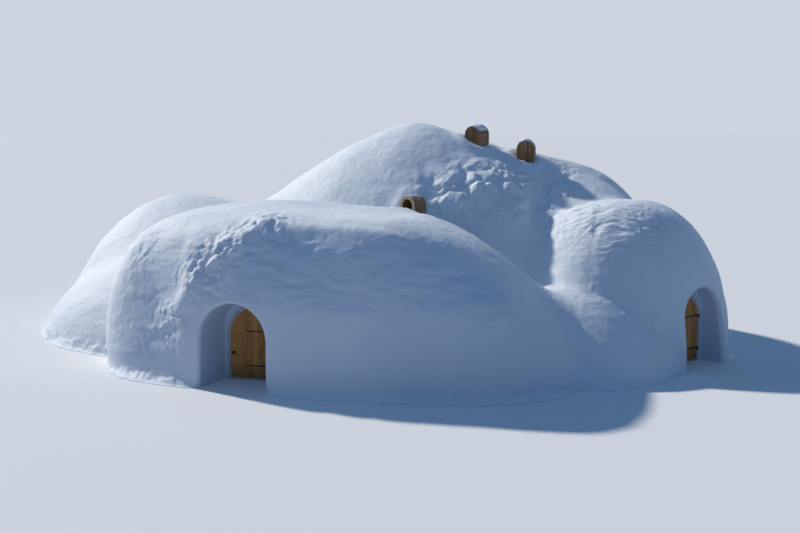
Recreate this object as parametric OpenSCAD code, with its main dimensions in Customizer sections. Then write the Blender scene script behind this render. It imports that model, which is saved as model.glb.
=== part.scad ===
// Snow house of merged domes, with two arched board doors and three timber air vents.
// Millimetres, front towards -Y, standing on z = 0.

/* [Front dome] */
// Centre of the front dome, left to right
front_x = 450; // [300:50:600]
// Centre of the front dome, front to back
front_y = -3900; // [-4000:50:-3850]
// Half length of the front dome
front_half_length = 6300; // [6000:50:6500]
// Half depth of the front dome
front_half_depth = 2900; // [2850:50:3000]
// Height of the front dome
front_height = 4200; // [4000:50:4400]

/* [Centre dome] */
// Centre of the highest dome, left to right
centre_x = 1050; // [900:50:1200]
// Centre of the highest dome, front to back
centre_y = 2000; // [1900:50:2100]
// Half length of the highest dome
centre_half_length = 6300; // [6000:50:6600]
// Half depth of the highest dome
centre_half_depth = 4800; // [4700:50:4950]
// Height of the highest dome
centre_height = 6200; // [6000:50:6600]

/* [Back dome] */
// Centre of the back dome, left to right
back_x = 5200; // [5000:50:5400]
// Centre of the back dome, front to back
back_y = 3550; // [3450:50:3650]
// Plan radius of the back dome
back_radius = 3200; // [3100:50:3300]
// Height of the back dome
back_height = 4950; // [4800:50:5100]

/* [Right dome] */
// Centre of the right dome, left to right
right_x = 7450; // [7400:50:7500]
// Centre of the right dome, front to back
right_y = 500; // [400:50:600]
// Plan radius of the right dome
right_radius = 2800; // [2750:50:2900]
// Height of the right dome
right_height = 4250; // [4050:50:4450]

/* [Left dome] */
// Centre of the left dome, left to right
left_x = -6750; // [-6850:50:-6650]
// Centre of the left dome, front to back
left_y = 2000; // [1850:50:2150]
// Plan radius of the left dome
left_radius = 3500; // [3400:50:3600]
// Height of the left dome
left_height = 3650; // [3500:50:3800]

/* [Drifts] */
// Centre of the long drift on the left, left to right
drift_x = -3300; // [-3500:50:-3100]
// Centre of the long drift on the left, front to back
drift_y = 900; // [700:50:1100]
// Half depth of the long drift
drift_half_depth = 5200; // [5000:50:5400]
// Height of the long drift
drift_height = 3550; // [3300:50:3800]
// Centre of the drift in the right hand corner, left to right
corner_x = 6300; // [6200:50:6400]
// Centre of the drift in the right hand corner, front to back
corner_y = -1400; // [-1500:50:-1300]
// Plan radius of the drift in the right hand corner
corner_radius = 2900; // [2700:50:3100]
// Height of the drift in the right hand corner
corner_height = 2200; // [2000:50:2400]

/* [Rooms] */
// Centre of the vaulted front hall, left to right
hall_x = 450; // [300:50:600]
// Centre of the vaulted front hall, front to back
hall_y = -3550; // [-3600:10:-3500]
// Radius of the vaulted front hall
hall_radius = 1750; // [1600:50:1800]
// Length of the front hall between its round ends' centres
hall_straight = 5400; // [4800:100:5800]
// Height of the front hall's centre line
hall_rise = 1100; // [1000:50:1200]
// Radius of the centre room
centre_room_radius = 3300; // [3200:50:3350]
// Height of the centre room's upright wall
centre_room_wall = 1300; // [1200:50:1400]
// Radius of the back room
back_room_radius = 2300; // [2200:50:2350]
// Height of the back room's upright wall
back_room_wall = 1200; // [1100:50:1250]
// Radius of the right room
right_room_radius = 1800; // [1780:10:1850]
// Height of the right room's upright wall
right_room_wall = 1100; // [1000:50:1150]
// Radius of the left room
left_room_radius = 2100; // [2000:50:2200]
// Height of the left room's upright wall
left_room_wall = 900; // [800:50:950]
// Width of the passages between rooms
passage_width = 1200; // [1000:50:1300]
// Height of the passages between rooms
passage_height = 1950; // [1800:50:2050]

/* [Doors] */
// Place of the front door, left to right
door_x = -1300; // [-1500:50:-1100]
// Outer face of the front door's leaf, front to back
door_y = -5500; // [-5550:10:-5450]
// Direction that the side door faces, from +X towards +Y
side_angle = -34; // [-40:1:-28]
// Distance from the right dome's centre to the side door's outer face
side_distance = 2050; // [2000:10:2100]
// Width of a door leaf
leaf_width = 1040; // [980:10:1080]
// Height of a door leaf to its point
leaf_height = 1790; // [1720:10:1820]
// Radius of the leaf's two head arcs
leaf_arc = 760; // [700:10:820]
// Thickness of the leaf's boards
board_thickness = 32; // [25:1:40]
// Thickness of the ledges behind the boards
ledge_thickness = 28; // [20:1:35]
// Height of a ledge
ledge_height = 130; // [100:5:160]
// Gap between leaf and frame
leaf_gap = 8; // [6:1:12]
// Width of the frame's timbers as seen from the front
frame_width = 90; // [70:5:110]
// Depth of the frame from front to back
frame_depth = 140; // [120:5:160]
// Height of the sill under the leaf
sill_height = 45; // [30:5:60]
// Width of the snow porch at its mouth
mouth_width = 1900; // [1800:20:2000]
// Height of the snow porch at its mouth
mouth_height = 2150; // [2100:10:2200]
// Width of the snow porch at the frame
throat_width = 1360; // [1320:10:1400]
// Height of the snow porch at the frame
throat_height = 2080; // [2050:10:2120]

/* [Ironwork] */
// Thickness of a strap
strap_thickness = 6; // [5:1:8]
// Height of a strap at its eye
strap_height = 50; // [40:5:60]
// Length of a strap from its eye
strap_length = 660; // [550:10:700]
// Height of the lower strap over the sill
strap_low = 300; // [250:10:350]
// Height of the upper strap over the sill
strap_high = 1180; // [1000:10:1200]
// Diameter of a hinge pin
pin_diameter = 16; // [12:1:20]
// Clearance of a hinge pin in its eye
pin_clearance = 1; // [0.5:0.1:1.5]
// Wall of a strap's eye
eye_wall = 5; // [4:1:7]
// Diameter of the door knob
knob_diameter = 70; // [60:2:80]
// Height of the knob over the sill
knob_height = 640; // [600:10:900]

/* [Vents] */
// Width of a vent box
vent_width = 520; // [480:10:560]
// Depth of a vent box
vent_depth = 460; // [420:10:500]
// Height of a vent over the snow
vent_rise = 560; // [500:10:620]
// Depth that a vent reaches into the snow
vent_sink = 700; // [600:10:750]
// Thickness of a vent's boards
vent_board = 28; // [22:1:34]
// Width of the curved band round a vent's mouth
vent_band = 70; // [50:5:90]
// Side of the square air shaft below a vent
shaft_side = 320; // [280:10:340]

/* [Hidden] */

// Vertical foot all round the snow, and how softly the domes run together
foot_height = 180;
blend_power = 4;
// What is left off the thin left and right ends, and the play between snow and timber
end_trim = 12;
slack = 0.3;
// How far cutting shapes run past the snow
beyond = 10000;
arc_facets = 48;
round_facets = 96;

// A dome is x, y, half length, half depth, height, plan power, profile power, profile root
front_dome = [front_x, front_y, front_half_length, front_half_depth, front_height, 2.4, 6, 2.5];
centre_dome = [centre_x, centre_y, centre_half_length, centre_half_depth, centre_height, 2, 1.6, 1.3];
back_dome = [back_x, back_y, back_radius, back_radius, back_height, 2, 2.2, 2];
right_dome = [right_x, right_y, right_radius, right_radius, right_height, 2.2, 2.4, 2];
left_dome = [left_x, left_y, left_radius, left_radius, left_height, 2, 1.9, 1.6];
drift_half_length = drift_x - left_x + left_radius - left_radius / 70;
left_drift = [drift_x, drift_y, drift_half_length, drift_half_depth, drift_height, 2.2, 2, 1.4];
corner_drift = [corner_x, corner_y, corner_radius, corner_radius, corner_height, 2, 2, 1.4];
domes = [front_dome, centre_dome, back_dome, right_dome, left_dome, left_drift, corner_drift];

// The front dome's right end runs down as a ramp: its share of the height there
ramp_start = front_x + front_half_length / 4;
ramp_length = 0.78 * front_half_length;
function ramp(x) = exp(-pow(max(x - ramp_start, 0) / ramp_length, 2));

// Height of one dome, and of all of them run together
function dome_height(d, x, y) =
    let (u = abs(x - d[0]) / d[2], v = abs(y - d[1]) / d[3])
    let (r = pow(pow(u, d[5]) + pow(v, d[5]), 1 / d[5]))
    r >= 1 ? 0 : d[4] * pow(1 - pow(r, d[6]), 1 / d[7]);
function add(list, i = 0) = i >= len(list) ? 0 : list[i] + add(list, i + 1);
function share_at(d, x) = d == front_dome ? ramp(x) : 1;
function snow_height(x, y) =
    let (heights = [for (d = domes) share_at(d, x) * dome_height(d, x, y) / 1000])
    let (all_domes = add([for (h = heights) pow(h, blend_power)]))
    sqrt(pow(1000 * pow(all_domes, 1 / blend_power), 2) + pow(foot_height, 2));

// Half depth of one dome's plan at a station, and the foot line of all of them
function reach(d, x) =
    let (u = abs(x - d[0]) / d[2]) u >= 1 ? 0 : d[3] * pow(1 - pow(u, d[5]), 1 / d[5]);
function foot_front(x) = min([for (d = domes) if (reach(d, x) > 0) d[1] - reach(d, x)]);
function foot_back(x) = max([for (d = domes) if (reach(d, x) > 0) d[1] + reach(d, x)]);

// Place of each vent over its room: x, y and the way it turns
front_vent = [centre_x + 0.21 * centre_room_radius, centre_y - 0.91 * centre_room_radius, -30];
crest_vent = [centre_x + 0.545 * centre_room_radius, centre_y - 0.015 * centre_room_radius, 158];
saddle_vent = [back_x - 0.39 * back_room_radius, back_y - 0.65 * back_room_radius, 187];

// Cuts between the blocks across the house, and the stations of each block with one beyond each cut
left_end = left_x - left_radius + end_trim;
right_end = right_x + right_radius - end_trim;
doorway_block = 2.5 * leaf_width;
left_cut = front_x - 1.008 * front_half_length;
shoulder_cut = crest_vent.x + vent_width;
right_cut = right_x - 0.55 * right_radius;
side_cut = right_x + 0.3 * right_radius;
cuts = [left_end, left_cut, door_x - doorway_block / 2, door_x + doorway_block / 2,
    shoulder_cut, right_cut, side_cut, right_end];
steps = [11, 9, 7, 8, 8, 7, 9];
function crowd(c, t) = c == 0 ? 1 - cos(90 * t) : c == len(steps) - 1 ? sin(90 * t) : t;
function station(c, k) = cuts[c] + (cuts[c + 1] - cuts[c]) * crowd(c, (k + 0.5) / steps[c]);
function stations(c) = concat(
    [c == 0 ? left_end - end_trim / 2 : station(c - 1, steps[c - 1] - 1)],
    [for (k = [0:steps[c] - 1]) station(c, k)],
    [c == len(steps) - 1 ? right_end + end_trim / 2 : station(c + 1, 0)]);

// Rows front to back: shares of the depth at which the blocks part, with their own steps
row_cuts = [0, 0.25, 0.52, 1];
row_steps = [15, 8, 14];
function row_share(r, k) =
    let (t = k / row_steps[r])
    let (s = r == 0 ? pow(t, 1.8) : r == len(row_steps) - 1 ? 1 - pow(1 - t, 1.7) : t)
    row_cuts[r] + (row_cuts[r + 1] - row_cuts[r]) * s;

function row_list(r0, r1) = concat(
    [for (r = [r0:r1]) for (k = [0:row_steps[r] - 1]) row_share(r, k)], [row_cuts[r1 + 1]]);

// Snow skin over a block's stations and rows, down to below the ground
module snow_loft(xs, shares) {
    n = len(shares);
    m = len(xs);
    top = [for (x = xs) let (f = foot_front(x), b = foot_back(x)) for (s = shares)
        let (y = f + (b - f) * s) [x, y, snow_height(x, y)]];
    front_foot = [for (i = [0:m - 1]) [top[i * n].x, top[i * n].y, -foot_height]];
    back_foot = [for (i = [0:m - 1]) [top[i * n].x, top[i * n + n - 1].y, -foot_height]];
    f0 = m * n;
    b0 = f0 + m;
    crown = [for (i = [0:m - 2]) for (j = [0:n - 2])
        each let (a = i * n + j) [[a, a + 1, a + n + 1], [a, a + n + 1, a + n]]];
    front_faces = [for (i = [0:m - 2]) [i * n, (i + 1) * n, f0 + i + 1, f0 + i]];
    back_faces = [for (i = [0:m - 2])
        [(i + 1) * n + n - 1, i * n + n - 1, b0 + i, b0 + i + 1]];
    left_face = [f0, b0, for (j = [n - 1:-1:0]) j];
    right_face = [b0 + m - 1, f0 + m - 1, for (j = [0:n - 1]) (m - 1) * n + j];
    floor_face = [for (i = [0:m - 1]) f0 + i, for (i = [m - 1:-1:0]) b0 + i];
    polyhedron(
        concat(top, front_foot, back_foot),
        concat(crown, front_faces, back_faces, [left_face, right_face, floor_face]),
        convexity = 8);
}

// One block of snow, cut off level at the ground and upright at its two ends
module snow_block(c, r0, r1) intersection() {
    snow_loft(stations(c), row_list(r0, r1));
    translate([cuts[c], -beyond, 0]) cube([cuts[c + 1] - cuts[c], 2 * beyond, beyond]);
}

// Round-headed outline, standing on y = 0 and reaching down into the ground
module round_arch(width, height) {
    translate([-width / 2, -height / 2]) square([width, height * 1.5 - width / 2]);
    translate([0, height - width / 2]) circle(d = width, $fn = arc_facets);
}

// Pointed outline, standing on y = 0, drawn out by grow
module pointed_arch(grow = 0) {
    half = leaf_width / 2;
    spring = leaf_height - sqrt(pow(leaf_arc, 2) - pow(leaf_arc - half, 2));
    intersection() {
        translate([half - leaf_arc, spring]) circle(r = leaf_arc + grow, $fn = round_facets);
        translate([leaf_arc - half, spring]) circle(r = leaf_arc + grow, $fn = round_facets);
        translate([-half - grow, spring]) square([leaf_width + 2 * grow, leaf_height]);
    }
    translate([-half - grow, 0]) square([leaf_width + 2 * grow, spring + 0.01]);
}

// Places a piece drawn with its face at y = 0 and its outside towards -Y
module at_front_door() translate([door_x, door_y, 0]) children();
module at_side_door() translate([right_x, right_y, 0]) rotate(side_angle + 90)
    translate([0, -side_distance, 0]) children();

// Splayed porch in the snow, open to the front, and the way through the wall behind the frame
porch_reach = 1500;
way_depth = 1400;
module porch() {
    hull() {
        rotate([90, 0, 0]) linear_extrude(1) round_arch(throat_width, throat_height);
        translate([0, -porch_reach, 0]) rotate([90, 0, 0]) linear_extrude(1)
            round_arch(mouth_width, mouth_height);
    }
}

module way_through() {
    translate([0, way_depth, 0]) rotate([90, 0, 0]) linear_extrude(way_depth + 1)
        union() {
            translate([0, sill_height]) pointed_arch(leaf_gap + frame_width + slack);
            translate([-door_half - leaf_gap - frame_width - slack, -10])
                square([leaf_width + 2 * (leaf_gap + frame_width + slack), sill_height + 11]);
        }
}

// All the hollows in the snow. A passage ends well inside the rooms that it joins.
passage_bite = 1000;
module rooms() {
    translate([hall_x, hall_y, hall_rise]) rotate([0, 90, 0]) rotate_extrude($fn = round_facets)
        hall_profile();
    translate([centre_x, centre_y]) domed_room(centre_room_radius, centre_room_wall);
    translate([back_x, back_y]) domed_room(back_room_radius, back_room_wall);
    translate([right_x, right_y]) domed_room(right_room_radius, right_room_wall);
    translate([left_x, left_y]) domed_room(left_room_radius, left_room_wall);
    translate([centre_x, centre_y - passage_bite, 0]) rotate([90, 0, 0])
        linear_extrude(centre_y - passage_bite - hall_y) round_arch(passage_width, passage_height);
    translate([left_x + passage_bite, centre_y, 0]) rotate([90, 0, 90])
        linear_extrude(centre_x - left_x - 2 * passage_bite) round_arch(passage_width, passage_height);
}

// A round room: an upright wall that turns over into a dome
module domed_room(radius, wall) {
    rotate_extrude($fn = round_facets) {
        translate([0, -wall / 2]) square([radius, wall * 1.5]);
        intersection() {
            translate([0, wall]) circle(radius, $fn = round_facets);
            translate([0, wall - 1]) square(radius + 1);
        }
    }
}

// Half outline of the hall, turned about its long centre line
module hall_profile() {
    translate([0, -hall_straight / 2]) square([hall_radius, hall_straight]);
    for (end = [-1, 1]) intersection() {
        translate([0, end * hall_straight / 2]) circle(hall_radius, $fn = round_facets);
        translate([0, end > 0 ? hall_straight / 2 - 1 : -hall_straight / 2 - hall_radius])
            square([hall_radius, hall_radius + 1]);
    }
}

module hollowed_block(c, r0, r1) color("ghostwhite") difference() {
    snow_block(c, r0, r1);
    rooms();
}

// Pieces of one door, drawn with the leaf's outer face at y = 0 and the outside towards -Y
door_half = leaf_width / 2;
leaf_thickness = board_thickness + ledge_thickness;
eye_radius = pin_diameter / 2 + pin_clearance + eye_wall;
hinge_x = door_half + leaf_gap / 2;
hinge_y = -eye_radius - 1;
strap_levels = [sill_height + strap_low, sill_height + strap_high];
ledge_levels = [sill_height + 190, sill_height + 620, sill_height + 1010];
ledge_inset = 30;

module door_frame() color("lightgray") translate([0, frame_depth, 0]) rotate([90, 0, 0])
    linear_extrude(frame_depth) difference() {
        union() {
            translate([0, sill_height]) pointed_arch(leaf_gap + frame_width);
            translate([-door_half - leaf_gap - frame_width, 0])
                square([leaf_width + 2 * (leaf_gap + frame_width), sill_height]);
        }
        translate([0, sill_height]) pointed_arch(leaf_gap);
        translate([-door_half - leaf_gap, -1])
            square([leaf_width + 2 * leaf_gap, sill_height + 2]);
    }

module door_sill() color("peru")
    translate([-door_half - leaf_gap, 0, 0])
        cube([leaf_width + 2 * leaf_gap, frame_depth, sill_height - leaf_gap]);

module door_boards() color("peru") translate([0, board_thickness, 0]) rotate([90, 0, 0])
    linear_extrude(board_thickness) translate([0, sill_height]) pointed_arch();

module door_ledges() color("sienna") for (z = ledge_levels)
    translate([-door_half + ledge_inset, board_thickness, z])
        cube([leaf_width - 2 * ledge_inset, ledge_thickness, ledge_height]);

module door_straps() color("dimgray") for (z = strap_levels) difference() {
    union() {
        translate([hinge_x, hinge_y, z]) cylinder(r = eye_radius, h = strap_height);
        translate([hinge_x, -strap_thickness, z]) rotate([90, 0, 180])
            linear_extrude(strap_thickness) strap_outline();
    }
    translate([hinge_x, hinge_y, z - 1])
        cylinder(r = pin_diameter / 2 + pin_clearance, h = strap_height + 2);
}

// A strap runs from its eye to a round end, narrowing by half
module strap_outline() polygon([
    [0, 0], [0, strap_height],
    [strap_length - strap_height / 2, strap_height * 0.75],
    [strap_length, strap_height / 2],
    [strap_length - strap_height / 2, strap_height * 0.25]]);

// A pintle's pin stands on an arm, which a plate holds to the frame, and stands out of the strap's eye
pin_above = 15;
plate_gap = 4;
module door_pintles() color("dimgray") for (z = strap_levels) {
    arm = strap_height / 2;
    translate([hinge_x, hinge_y, z - 1 - arm])
        cylinder(d = pin_diameter, h = arm + strap_height + pin_above);
    translate([hinge_x, hinge_y - pin_diameter * 0.3, z - 1 - arm])
        cube([pin_diameter / 2 + frame_width / 2, pin_diameter * 0.3 - hinge_y, arm]);
    translate([hinge_x + eye_radius + plate_gap, -strap_thickness, z - strap_height])
        cube([frame_width / 2, strap_thickness, 2 * strap_height]);
}

// A round knob, flattened in front and behind, on a neck and a flat rose
knob_inset = 80;
rose_edge = 10;
rose_thickness = 5;
knob_stand = 50;
knob_flats = [-0.25, 0.35];
module door_knob() color("black")
    translate([-door_half + knob_inset, 0, sill_height + knob_height]) rotate([90, 0, 0]) {
        cylinder(d = knob_diameter + 2 * rose_edge, h = rose_thickness);
        cylinder(d = knob_diameter * 0.4, h = knob_stand);
        translate([0, 0, knob_stand]) intersection() {
            sphere(d = knob_diameter, $fn = 64);
            translate([0, 0, knob_flats[0] * knob_diameter])
                cylinder(d = 2 * knob_diameter, h = (knob_flats[1] - knob_flats[0]) * knob_diameter);
        }
    }

// A vent is a round-headed board box, sunk in the snow, with a banded mouth towards -Y.
// The band stands out past the box all round, starts above the snow, and the hole in it higher up.
lip = 20;
lip_start = 30;
hole_start = 60;
module vent_outline(grow = 0) {
    translate([-vent_width / 2 - grow, -vent_sink - grow])
        square([vent_width + 2 * grow, vent_sink + grow + vent_rise - vent_width / 2]);
    translate([0, vent_rise - vent_width / 2])
        circle(d = vent_width + 2 * grow, $fn = arc_facets);
}

module vent_hood() color("burlywood") rotate([90, 0, 0]) difference() {
    translate([0, 0, -vent_depth / 2]) linear_extrude(vent_depth) vent_outline();
    translate([0, 0, -vent_depth / 2 + vent_board])
        linear_extrude(vent_depth - 2 * vent_board) vent_hollow();
    linear_extrude(vent_depth) intersection() {
        vent_hollow();
        translate([-vent_width, hole_start]) square([2 * vent_width, vent_rise]);
    }
}

module vent_hollow() {
    inner = vent_width - 2 * vent_board;
    translate([-inner / 2, -vent_sink - 1])
        square([inner, vent_sink + 1 + vent_rise - vent_width / 2]);
    translate([0, vent_rise - vent_width / 2]) circle(d = inner, $fn = arc_facets);
}

module vent_mouth() color("tan") translate([0, -vent_depth / 2, 0]) rotate([90, 0, 0])
    linear_extrude(vent_board) difference() {
        intersection() {
            vent_outline(lip);
            translate([-vent_width, lip_start]) square([2 * vent_width, vent_rise + lip]);
        }
        translate([0, vent_rise - vent_width / 2])
            circle(d = vent_width - 2 * vent_band, $fn = arc_facets);
        translate([-vent_width / 2 + vent_band, hole_start])
            square([vent_width - 2 * vent_band, vent_rise - vent_width / 2 - hole_start]);
    }

// Pocket that a vent stands in, the notch for its mouth, and the air shaft down to the room below it
shaft_drop = 2600;
module vent_pocket() {
    translate([-vent_width / 2 - lip - slack, -vent_depth / 2 - vent_board - slack, lip_start])
        cube([vent_width + 2 * lip + 2 * slack, vent_board + 1, 2 * vent_rise]);
    translate([-vent_width / 2 - slack, -vent_depth / 2 - slack, -vent_sink])
        cube([vent_width + 2 * slack, vent_depth + 2 * slack, vent_sink + 2 * vent_rise]);
    translate([-shaft_side / 2, -shaft_side / 2, -vent_sink - shaft_drop])
        cube([shaft_side, shaft_side, shaft_drop + 1]);
}

module at_vent(v) translate([v.x, v.y, snow_height(v.x, v.y)]) rotate(v.z) children();

module left_dome_front() hollowed_block(0, 0, 0);
module left_dome_roof() hollowed_block(0, 1, 1);
module left_dome_back() hollowed_block(0, 2, 2);
module front_wall_left() hollowed_block(1, 0, 0);
module left_valley() hollowed_block(1, 1, 1);
module back_wall_left() hollowed_block(1, 2, 2);
module front_doorway() difference() {
    hollowed_block(2, 0, 0);
    at_front_door() {
        porch();
        way_through();
    }
}
module roof_over_door() hollowed_block(2, 1, 1);
module back_wall_middle_left() hollowed_block(2, 2, 2);
module front_wall_right() hollowed_block(3, 0, 0);
module roof_high() difference() {
    hollowed_block(3, 1, 1);
    at_vent(front_vent) vent_pocket();
}
module back_wall_middle_right() difference() {
    hollowed_block(3, 2, 2);
    at_vent(crest_vent) vent_pocket();
}
module front_dome_right_end() hollowed_block(4, 0, 0);
module roof_right_shoulder() hollowed_block(4, 1, 1);
module back_dome_wall() difference() {
    hollowed_block(4, 2, 2);
    at_vent(saddle_vent) vent_pocket();
}
module right_dome_front() hollowed_block(5, 0, 0);
module right_dome_roof() hollowed_block(5, 1, 1);
module right_dome_back() hollowed_block(5, 2, 2);
module side_doorway() difference() {
    hollowed_block(6, 0, 1);
    at_side_door() {
        porch();
        way_through();
    }
}
module side_wall_back() hollowed_block(6, 2, 2);
module front_door_frame() at_front_door() door_frame();
module front_door_sill() at_front_door() door_sill();
module front_door_pintles() at_front_door() door_pintles();
module front_door_boards() at_front_door() door_boards();
module front_door_ledges() at_front_door() door_ledges();
module front_door_straps() at_front_door() door_straps();
module front_door_knob() at_front_door() door_knob();
module side_door_frame() at_side_door() door_frame();
module side_door_sill() at_side_door() door_sill();
module side_door_pintles() at_side_door() door_pintles();
module side_door_boards() at_side_door() door_boards();
module side_door_ledges() at_side_door() door_ledges();
module side_door_straps() at_side_door() door_straps();
module side_door_knob() at_side_door() door_knob();
module front_vent_hood() at_vent(front_vent) vent_hood();
module front_vent_mouth() at_vent(front_vent) vent_mouth();
module crest_vent_hood() at_vent(crest_vent) vent_hood();
module crest_vent_mouth() at_vent(crest_vent) vent_mouth();
module saddle_vent_hood() at_vent(saddle_vent) vent_hood();
module saddle_vent_mouth() at_vent(saddle_vent) vent_mouth();

left_dome_front();
left_dome_roof();
left_dome_back();
front_wall_left();
left_valley();
back_wall_left();
front_doorway();
roof_over_door();
back_wall_middle_left();
front_wall_right();
roof_high();
back_wall_middle_right();
front_dome_right_end();
roof_right_shoulder();
back_dome_wall();
right_dome_front();
right_dome_roof();
right_dome_back();
side_doorway();
side_wall_back();
front_door_frame();
front_door_sill();
front_door_pintles();
front_door_boards();
front_door_ledges();
front_door_straps();
front_door_knob();
side_door_frame();
side_door_sill();
side_door_pintles();
side_door_boards();
side_door_ledges();
side_door_straps();
side_door_knob();
front_vent_hood();
front_vent_mouth();
crest_vent_hood();
crest_vent_mouth();
saddle_vent_hood();
saddle_vent_mouth();
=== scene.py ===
import math
import bpy
import numpy as np
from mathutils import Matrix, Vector


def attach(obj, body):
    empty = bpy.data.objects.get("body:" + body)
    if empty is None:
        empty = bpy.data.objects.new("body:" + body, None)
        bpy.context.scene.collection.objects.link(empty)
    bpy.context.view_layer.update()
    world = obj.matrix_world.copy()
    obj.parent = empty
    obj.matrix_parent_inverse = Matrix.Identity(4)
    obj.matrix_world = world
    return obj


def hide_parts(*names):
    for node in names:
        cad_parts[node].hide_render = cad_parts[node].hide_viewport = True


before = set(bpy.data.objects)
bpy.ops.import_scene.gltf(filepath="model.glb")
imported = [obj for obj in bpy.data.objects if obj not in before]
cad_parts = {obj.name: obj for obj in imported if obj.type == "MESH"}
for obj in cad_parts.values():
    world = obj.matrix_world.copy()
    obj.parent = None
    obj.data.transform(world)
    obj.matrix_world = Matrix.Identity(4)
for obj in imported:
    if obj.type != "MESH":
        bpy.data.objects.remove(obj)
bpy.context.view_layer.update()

# Snow shell. Loose snow is blown over inflated balloons and sets hard, and the balloons come out again.
# The domes run into one another, the wind rounds them off, and crust and ripples form on the sheltered side.
# Each dome: centre x, centre y, half length, half depth, height, power of plan, power and root of profile.
snow_domes = {
    "front": (0.45, -3.9, 6.3, 2.9, 4.2, 2.4, 6.0, 2.5),
    "centre": (1.05, 2.0, 6.3, 4.8, 6.2, 2.0, 1.6, 1.3),
    "back": (5.2, 3.55, 3.2, 3.2, 4.95, 2.0, 2.2, 2.0),
    "right": (7.45, 0.5, 2.8, 2.8, 4.25, 2.2, 2.4, 2.0),
    "left": (-6.75, 2.0, 3.5, 3.5, 3.65, 2.0, 1.9, 1.6),
    "left_drift": (-3.3, 0.9, 6.9, 5.2, 3.55, 2.2, 2.0, 1.4),
    "corner_drift": (6.3, -1.4, 2.9, 2.9, 2.2, 2.0, 2.0, 1.4),
}
ramp_start, ramp_length = 2.025, 4.914
snow_foot = 0.18
# Each vent: x, y and turn in degrees. Snow heaps round it in a ring: height, radius and half width.
vent_places = {"front": (1.743, -1.003, -30), "crest": (2.8485, 1.9505, 158), "saddle": (4.303, 2.055, 187)}
vent_heap = (0.09, 0.46, 0.22)
# What the wind built up or took away: height, centre x and y, two half widths, turn in degrees.
wind_work = [(-0.20, 1.9, -2.9, 2.4, 1.2, 0), (0.72, 4.45, 0.0, 1.25, 1.15, 0),
             (0.16, 3.1, -0.45, 0.9, 0.5, 12), (-0.30, 3.0, -0.95, 0.70, 0.26, 12)]


def dome_snow(x, y):
    """Height of the domes run together: the fourth root of the sum of fourth powers of h (1 - r^p)^(1/q),
    over a low foot. r is the distance from a dome's centre by its plan power. The front dome's right end
    runs down as a ramp, h exp(-(d / length)^2)."""
    total = np.zeros(np.broadcast(x, y).shape)
    for name, (cx, cy, a, b, h, k, p, q) in snow_domes.items():
        r = (np.abs((x - cx) / a) ** k + np.abs((y - cy) / b) ** k) ** (1 / k)
        if name == "front":
            h = h * np.exp(-(np.clip(x - ramp_start, 0, None) / ramp_length) ** 2)
        total += (h * np.clip(1 - r ** p, 0, None) ** (1 / q)) ** 4
    return np.sqrt(np.sqrt(total) + snow_foot ** 2)


def soft_spot(x, y, cx, cy, a, b, turn):
    """A round bump of height 1, exp(-u^2 - v^2), with half widths a and b, turned by an angle in degrees."""
    c, s = math.cos(math.radians(turn)), math.sin(math.radians(turn))
    u, v = (x - cx) * c + (y - cy) * s, (y - cy) * c - (x - cx) * s
    return np.exp(-(u / a) ** 2 - (v / b) ** 2)


def drifted_snow(x, y):
    """The domes with what the wind did to them: a sunken top behind the front brow, a fuller shoulder on the
    right, a ridge and a scoop beside the front vent, and snow heaped round each vent."""
    z = dome_snow(x, y)
    for height, *spot in wind_work:
        z = z + height * soft_spot(x, y, *spot)
    height, radius, width = vent_heap
    for vx, vy, turn in vent_places.values():
        z = z + height * np.exp(-((np.hypot(x - vx, y - vy) - radius) / width) ** 2)
    return z


def upward_normal(x, y, step=0.01):
    """Unit normals (-dz/dx, -dz/dy, 1) of the drifted snow, from differences over a short step."""
    slope_x = (drifted_snow(x + step, y) - drifted_snow(x - step, y)) / (2 * step)
    slope_y = (drifted_snow(x, y + step) - drifted_snow(x, y - step)) / (2 * step)
    normal = np.stack([-slope_x, -slope_y, np.ones_like(x)], -1)
    return normal / np.linalg.norm(normal, axis=-1)[..., None]


noise_rng = np.random.default_rng(11)
noise_order = noise_rng.permutation(256)
noise_slopes = noise_rng.normal(size=(256, 3))
noise_slopes /= np.linalg.norm(noise_slopes, axis=1)[:, None]


def drawn_lots(cell):
    """A number from 0 to 255 for each cell of a lattice, drawn through a shuffled order."""
    lot = noise_order[cell[..., 0] & 255]
    for axis in (1, 2):
        lot = noise_order[(lot + cell[..., axis]) & 255]
    return lot


def snow_noise(points, size, seed=0):
    """Gradient noise from about -1 to 1: the corners of a lattice of cells hold random slopes, and the eight
    round a point are blended by 6t^5 - 15t^4 + 10t^3."""
    q = points / np.asarray(size, float) + 17.31 * seed
    cell = np.floor(q).astype(np.int64)
    t = q - cell
    w = t ** 3 * (t * (6 * t - 15) + 10)
    total = np.zeros(q.shape[:-1])
    for corner in np.ndindex(2, 2, 2):
        slope = noise_slopes[drawn_lots(cell + corner)]
        total += np.where(corner, w, 1 - w).prod(-1) * ((t - corner) * slope).sum(-1)
    return 1.7 * total


def clods(points, size, seed):
    """Rounded lumps: each cell of a lattice holds one ball at a random place, and the height is the highest
    1 - (distance / radius)^2 of the 27 balls round a point, with radii of 0.35 to 0.75 of a cell."""
    q = points / size + 9.7 * seed
    cell = np.floor(q).astype(np.int64)
    best = np.zeros(q.shape[:-1])
    for corner in np.ndindex(3, 3, 3):
        near = cell + np.array(corner) - 1
        lot = drawn_lots(near)
        ball = near + 0.5 + 0.42 * noise_slopes[lot]
        radius = 0.35 + 0.40 * noise_order[lot] / 255
        best = np.maximum(best, 1 - ((q - ball) ** 2).sum(-1) / radius ** 2)
    return best


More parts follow.
